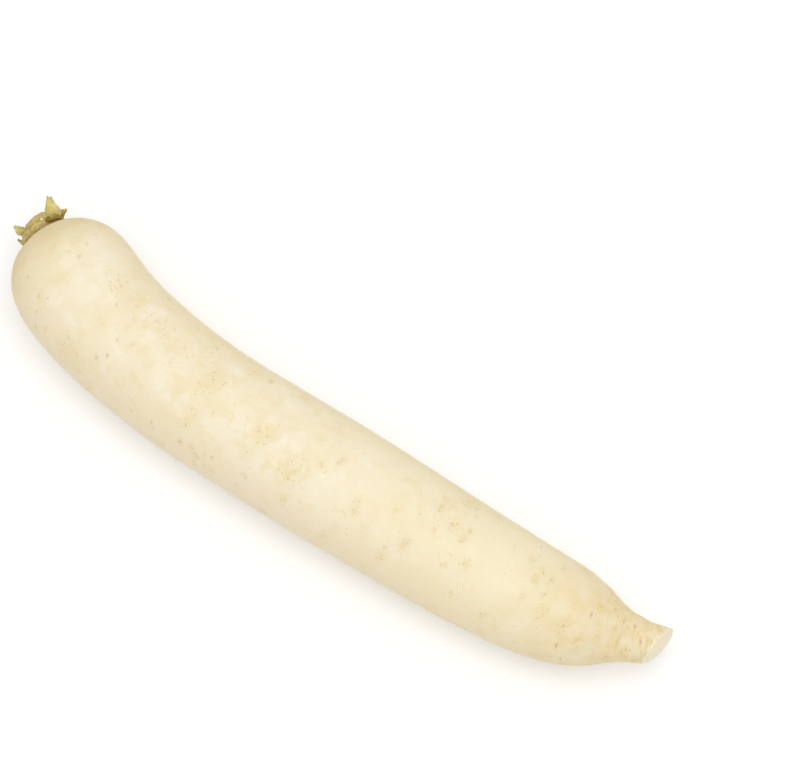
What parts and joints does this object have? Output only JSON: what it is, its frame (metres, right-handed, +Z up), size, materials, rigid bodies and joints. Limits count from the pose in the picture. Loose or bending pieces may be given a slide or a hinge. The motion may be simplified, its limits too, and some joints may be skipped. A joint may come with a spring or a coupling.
{
  "type": "daikon radish",
  "caption": "Long white daikon root lying on its side, gently bent, with a trimmed tip and a crown of cut leaf stalks and withered leaf bases.",
  "frame": {"origin": "on the surface that the root lies on, under the middle of the bounding box", "axes": "+X along the root, from the crown with its leaf stalks (-X) to the trimmed tip (+X); +Z up from the surface that it lies on; the root bends level with that surface, hollow side towards +Y"},
  "size_m": [0.3354, 0.0674, 0.0568],
  "materials": {
    "root_skin": "satin",
    "stem": "matte",
    "withered_leaf": "matte",
    "leaf_stalk": "satin",
    "heart_leaves": "satin"
  },
  "bodies": {
    "root": {"root": "root_skin", "stem": "stem", "old_leaf_base_1": "withered_leaf", "old_leaf_base_2": "withered_leaf", "old_leaf_base_3": "withered_leaf", "old_leaf_base_4": "withered_leaf", "old_leaf_base_5": "withered_leaf", "leaf_stalk_1": "leaf_stalk", "leaf_stalk_2": "leaf_stalk", "leaf_stalk_3": "leaf_stalk", "leaf_stalk_4": "leaf_stalk", "leaf_stalk_5": "leaf_stalk", "leaf_stalk_6": "leaf_stalk", "heart_bud": "heart_leaves"}
  },
  "joints": []
}
